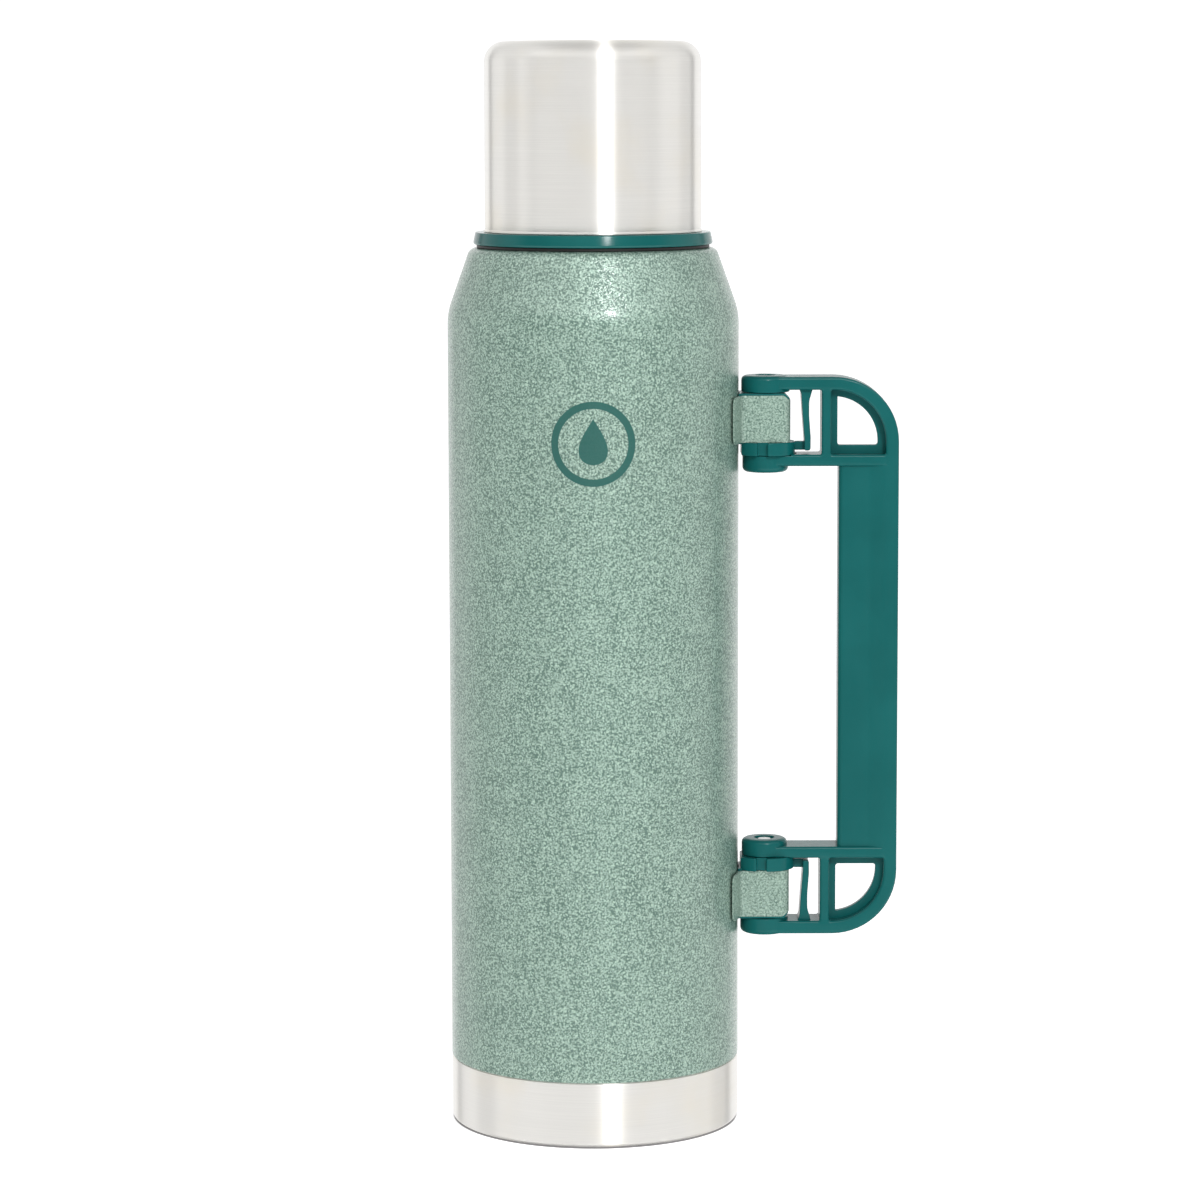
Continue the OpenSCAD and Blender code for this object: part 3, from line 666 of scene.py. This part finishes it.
def grip_section():
    """Plan of the grip: thinner than the frame, and flared out to its outer band."""
    side = arc(25.1 + 1.8, 5.7 - 1.8, 1.8, 180, 90, 15)
    side += [(34.3 + 7.9 * i / 8, 5.7 + 1.28 * (1 - cos(pi * i / 8)) / 2)
             for i in range(1, 9)]
    side += [(inner_u + 1.6, 6.6)]
    return side + [(u, -y) for u, y in side[::-1]]


adds.append(plate("grip", [grip_section()], -BAR_LOW - 0.9, BAR_LOW + 0.9, 0.02,
                  lambda u, y, h: (hinge_x + u, y, mid_z + h), 1))
join(handle, "UNION", *adds)
join(handle, "DIFFERENCE", *cuts)
fit(handle, "handle_frame", 32.0)

# ---------------------------------------------------------------- hinges
# The brackets get a copy of the paint with weaker veins and darker cells; the darker cells are painted shade
shaded_paint = hammertone("shaded_hammertone_paint", 0.75, 0.86)
STRAP = (74.55, 90.65)                     # heights of the bracket's two long edges
FRONT, HALF = hinge_x + 8.4, 7.9
STRAP_THICK, BEND = 1.2, 2.6                # steel, and outside radius of its bends
FLANGE_END = 20.5                          # degrees round the body from the handle
strap_r = body_r + STRAP_THICK


def strap_side(t):
    """Half the bracket's plan, moved in by t from its outer face: flange, bend, wall.
    The flange is half as thick, which leaves its dark gap against the body."""
    fillet = 2.0
    centre_x = sqrt((strap_r + fillet) ** 2 - (HALF + fillet) ** 2)
    aim = degrees(atan2(HALF + fillet, centre_x))
    flange = arc(0, 0, strap_r - 0.5 * t, FLANGE_END, aim, 0.7)
    bend = arc(centre_x, HALF + fillet, fillet + t, aim + 180, 270, 12)
    turn = arc(FRONT - BEND, HALF - BEND, BEND - t, 90, 0, 12)
    return flange + bend[1:] + [(58, HALF - t), (62, HALF - t)] + turn + [(FRONT - t, 2.4)]


def bracket(side, node):
    """Bent strip round the hinge block: flanges with rounded corners, and a 45 degree cut
    across the front of its far edge."""
    outer, inner = strap_side(0), strap_side(STRAP_THICK)
    outer += [(x, -y) for x, y in outer[::-1]]
    inner += [(x, -y) for x, y in inner[::-1]]
    middle = [Vector(((a[0] + b[0]) / 2, (a[1] + b[1]) / 2)) for a, b in zip(outer, inner)]
    along = [0.0]
    for a, b in zip(middle, middle[1:]):
        along.append(along[-1] + (b - a).length)
    points, faces = [], []
    shares = (0.0, 0.03, 0.25, 0.5, 0.75, 0.97, 1.0)
    for i, (a, b) in enumerate(zip(outer, inner)):
        end = min(along[i], along[-1] - along[i])
        back = BEND - sqrt(max(0.0, BEND ** 2 - (BEND - min(end, BEND)) ** 2))
        low, high = STRAP[0] + back, STRAP[1] - back
        high -= min(1.5, max(0.0, middle[i].x - (FRONT - 2.3)))
        for x, y in (a, b):
            points += [(x, y, mid_z + side * (low + (high - low) * s)) for s in shares]
    n, k = len(shares), len(outer)
    for i in range(k - 1):
        p, q = 2 * n * i, 2 * n * (i + 1)
        for j in range(n - 1):
            faces.append((p + j, q + j, q + j + 1, p + j + 1))
            faces.append((p + n + j, p + n + j + 1, q + n + j + 1, q + n + j))
        faces.append((p, p + n, q + n, q))
        faces.append((p + n - 1, q + n - 1, q + 2 * n - 1, p + 2 * n - 1))
    for p, flip in ((0, 1), (2 * n * (k - 1), -1)):
        for j in range(n - 1):
            faces.append((p + j, p + j + 1, p + n + j + 1, p + n + j)[::flip])
    made = solid("bracket", points, faces)
    edge = made.modifiers.new("edge", "BEVEL")
    edge.width, edge.segments, edge.limit_method = 0.25 * MM, 2, "ANGLE"
    edge.angle_limit = radians(50)
    fit(baked(made), node)
    # The bracket takes the darker copy of the paint, whose darker cells are painted shade
    made.data.materials[0] = shaded_paint.material


def cam_line():
    """Plan of the cam disc: flat towards the body, a notch at each locked position."""
    line, depth, wide, soft = [], 2.5, 1.75, 0.45
    swing, opens = 98.0, degrees(asin(wide / CAM_R))
    flat = degrees(acos(-8.4 / CAM_R))
    stops = [-flat]
    for at in (-swing, 0.0, swing):
        stops += [at - opens, at + opens]
    stops.append(flat)
    for i in range(0, len(stops), 2):
        stretch = arc(0, 0, CAM_R, stops[i], stops[i + 1], 6)
        if i > 0:
            stretch[0] += (soft,)
        if i < 6:
            stretch[-1] += (soft,)
        line += stretch
        if i < 6:
            a = radians((stops[i + 1] + stops[i + 2]) / 2)
            for y in (-wide, wide):
                line.append(((CAM_R - depth) * cos(a) - y * sin(a),
                             (CAM_R - depth) * sin(a) + y * cos(a), soft))
    return [(hinge_x + x, y) for x, y in rounded(line, step=30)]


def block(half_wide, end, corner):
    """Plan of a block that lies against the body and ends in two round corners."""
    near = degrees(asin(half_wide / (body_r + 0.3)))
    return arc(0, 0, body_r + 0.3, near, -near, 2) + rounded(
        [(55, -half_wide), (end, -half_wide, corner), (end, half_wide, corner),
         (55, half_wide)], closed=False)[1:-1]


def insert(side, node):
    """Hinge block with the cam disc on its inner end and a lid on its outer end."""
    made = plate("insert", [cam_line()], 70, STRAP[0] - 0.05, 0.35, level(side))
    post = plate("post", [block(HALF - 1.25, FRONT - 1.25, 1.4)], 73.9, 90.4, 0.05,
                 level(side), 1)
    cap = plate("cap", [block(HALF - 0.2, FRONT - 0.2, 2.4)], 88.6, STRAP[1] + 0.75, 0.3,
                level(side))
    wedge = plate("wedge", [[(FRONT - 3.0, 92.4), (FRONT + 2, 92.4), (FRONT + 2, 87.4)]],
                  -12, 12, 0.05, lambda x, h, y: (x, y, mid_z + side * h), 1)
    hole_r = PIN_R + 0.05
    hole = on_hinge("hole", side, [(0, 68), (hole_r, 68), (hole_r, 93), (0, 93)])
    join(cap, "DIFFERENCE", wedge)
    join(made, "UNION", post, cap)
    join(made, "DIFFERENCE", hole)
    fit(made, node, 32.0)


def leaf(side, node):
    """Springy tongue that hangs from the arm, with the pawl that holds the cam."""
    stem = rounded([(11.4, 92.7), (12.15, 91.2, 3), (12.6, 84, 20), (13.3, 75.0, 9),
                    (13.3, 71.5, 0.5), (15.4, 71.5, 0.8), (15.45, 76, 12), (14.9, 83.5, 14),
                    (14.9, 88.5, 5), (16.1, 92.7)], step=8)
    made = plate("leaf", [stem], -4.5, 4.5, 0.4, upright(side))
    nose = rounded([(9.4, 71.5, 0.8), (14, 71.5), (14, 74.5), (9.8, 74.5, 0.9)], step=15)
    join(made, "UNION", plate("pawl", [nose], -1.4, 1.4, 0.25, upright(side)))
    fit(made, node, 32.0)


for side, name in ((1, "upper"), (-1, "lower")):
    bracket(side, name + "_bracket")
    insert(side, name + "_hinge_insert")
    leaf(side, name + "_detent_leaf")
    fit(on_hinge("pin", side, [(0, 64.3), (PIN_R, 64.3, 0.7), (PIN_R, ARM, 0.7), (0, ARM)]),
        name + "_hinge_pin")

for node in ("radiation_foil", "getter", "stopper_core", "vacuum_seal"):
    shown = frame["nodes"][node]
    shown.data.materials.clear()
    shown.data.materials.append(MATERIALS[slot_of[node]].material)

# ---------------------------------------------------------------- floor, light, camera
WIDE = 9000
floor = solid("floor", [(-WIDE, -WIDE, 0), (WIDE, -WIDE, 0), (WIDE, WIDE, 0),
                        (-WIDE, WIDE, 0)], [(0, 1, 2, 3)])
# White paper that glows to pure white, except for a painted contact shadow where the foot stands: a dark colour
# there and no glow
paper = Shader("paper", Roughness=0.9, Emission_Color=(1, 1, 1, 1))
foot = paper.node("ShaderNodeVectorMath", {0: paper.place, 1: (0, -0.0015, 0)},
                  operation="DISTANCE").outputs["Value"]
# Mask that is zero on the painted contact shadow round the foot, which reaches further out in front
outside_painted_shadow = paper.ease(foot, (body_r - 1.0) * MM, (body_r + 0.3) * MM)
paper.set(Emission_Strength=paper.math("MULTIPLY", outside_painted_shadow, 0.82))
white = paper.mix(paper.noise(3.0), (0.9, 0.9, 0.9, 1), (0.92, 0.92, 0.92, 1))
# The dark colour inside the mask is the painted contact shadow
paper.set(Base_Color=paper.mix(outside_painted_shadow, (0.3, 0.29, 0.3, 1), white))
floor.data.materials.append(paper.material)
floor.visible_glossy = False


# Soft dark uprights that the steel mirrors: side, middle, half width, depth. The middle
# and width are in the sine of the angle behind the object.
FLAGS = ((-1, 0.12, 0.28, 0.4), (1, 0.42, 0.2, 0.28))
SEAMS = ((-1, 0.77, 0.07, 0.5), (1, 0.69, 0.09, 0.5))
BACKDROP = 1.1


def sky():
    """A studio in one world: white to the camera, a tent with a dimmer room in front of
    the object to what mirrors it, and low to what it lights, where the lamp does the work."""
    world = bpy.data.worlds.new("studio")
    bpy.context.scene.world = world
    world.use_nodes = True
    tree = world.node_tree
    tree.nodes.clear()

    def node(kind, inputs, **settings):
        made = tree.nodes.new(kind)
        for key, value in settings.items():
            setattr(made, key, value)
        for key, value in inputs.items():
            if isinstance(value, bpy.types.NodeSocket):
                tree.links.new(value, made.inputs[key])
            else:
                made.inputs[key].default_value = value
        return made.outputs

    def math(operation, a, b=0.0):
        return node("ShaderNodeMath", {0: a, 1: b}, operation=operation)[0]

    def shade(side, at, wide, depth):
        near = ease(math("ABSOLUTE", math("SUBTRACT", back, at)), wide, wide * 0.4, 0.0, depth)
        return math("MULTIPLY", near, math("GREATER_THAN", math("MULTIPLY", x, side), 0.0))

    def ease(value, start, end, low, high):
        return node("ShaderNodeMapRange", {0: value, 1: start, 2: end, 3: low, 4: high},
                    interpolation_type="SMOOTHSTEP")[0]

    x, y, z = node("ShaderNodeSeparateXYZ",
                   {0: node("ShaderNodeTexCoord", {})["Generated"]})
    flat = math("SQRT", math("ADD", math("MULTIPLY", x, x), math("MULTIPLY", y, y)))
    back = math("DIVIDE", y, math("MAXIMUM", flat, 0.001))
    room = math("MULTIPLY", ease(back, -0.45, 0.1, 0.85, 0.0),
                math("MULTIPLY", ease(z, -0.32, -0.18, 0.0, 1.0),
                     ease(z, 0.32, 0.48, 1.0, 0.0)))
    low = math("MULTIPLY", ease(z, -0.32, -0.22, 0.0, 1.0), ease(z, -0.02, 0.08, 1.0, 0.0))
    flags = math("MULTIPLY", math("ADD", shade(*FLAGS[0]), shade(*FLAGS[1])), low)
    seams = math("ADD", shade(*SEAMS[0]), shade(*SEAMS[1]))
    level = math("MULTIPLY", math("SUBTRACT", 1.0, flags), math("SUBTRACT", 1.0, room))
    level = math("MULTIPLY", level, math("SUBTRACT", 1.0, seams))
    level = math("MULTIPLY", level, ease(back, -0.4, 0.1, 1.8, 0.98))
    level = math("MULTIPLY", level, ease(back, 0.7, 0.86, 1.04, 1.08))
    level = math("MULTIPLY", level, ease(z, -0.3, -0.05, 1.12, 1.0))
    level = math("MULTIPLY", level, ease(z, -0.88, -0.5, 0.2, 1.0))
    over = math("MULTIPLY", ease(z, 0.7, 0.88, 0.0, 0.72), ease(y, 0.05, 0.4, 1.0, 0.0))
    level = math("MULTIPLY", level, math("SUBTRACT", 1.0, over))
    fill = ease(back, -0.9, -0.15, 0.78, 0.1)
    ray = node("ShaderNodeLightPath", {})
    strength = node("ShaderNodeMix", {0: ray["Is Glossy Ray"], 2: fill, 3: level},
                    data_type="FLOAT")[0]
    strength = node("ShaderNodeMix", {0: ray["Is Camera Ray"], 2: strength, 3: BACKDROP},
                    data_type="FLOAT")[0]
    light = node("ShaderNodeBackground", {0: (1, 1, 1, 1), 1: strength})[0]
    node("ShaderNodeOutputWorld", {0: light})


def lamp(name, place, target, size, power):
    """A round soft light."""
    light = bpy.data.lights.new(name, "AREA")
    light.shape, light.size, light.energy = "DISK", size, power
    made = bpy.data.objects.new(name, light)
    made.location = place
    aim = Vector(target) - Vector(place)
    made.rotation_euler = aim.to_track_quat("-Z", "Y").to_euler()
    bpy.context.collection.objects.link(made)


sky()
lamp("key", (0.45, -1.74, 1.16), (0, 0, 0.2), 0.32, 16)

CAMERA, TILT, ROLL = (0.00213, -1.436, 0.3605), radians(82.89), -0.0023
lens = bpy.data.cameras.new("camera")
lens.lens, lens.sensor_width = 125.4, 36.0
camera = bpy.data.objects.new("camera", lens)
bpy.context.collection.objects.link(camera)
camera.matrix_world = (Matrix.Translation(CAMERA)
                       @ Euler((TILT, 0, 0)).to_matrix().to_4x4()
                       @ Matrix.Rotation(ROLL, 4, "Z"))
bpy.context.scene.camera = camera
bpy.context.scene.view_settings.view_transform = "Standard"
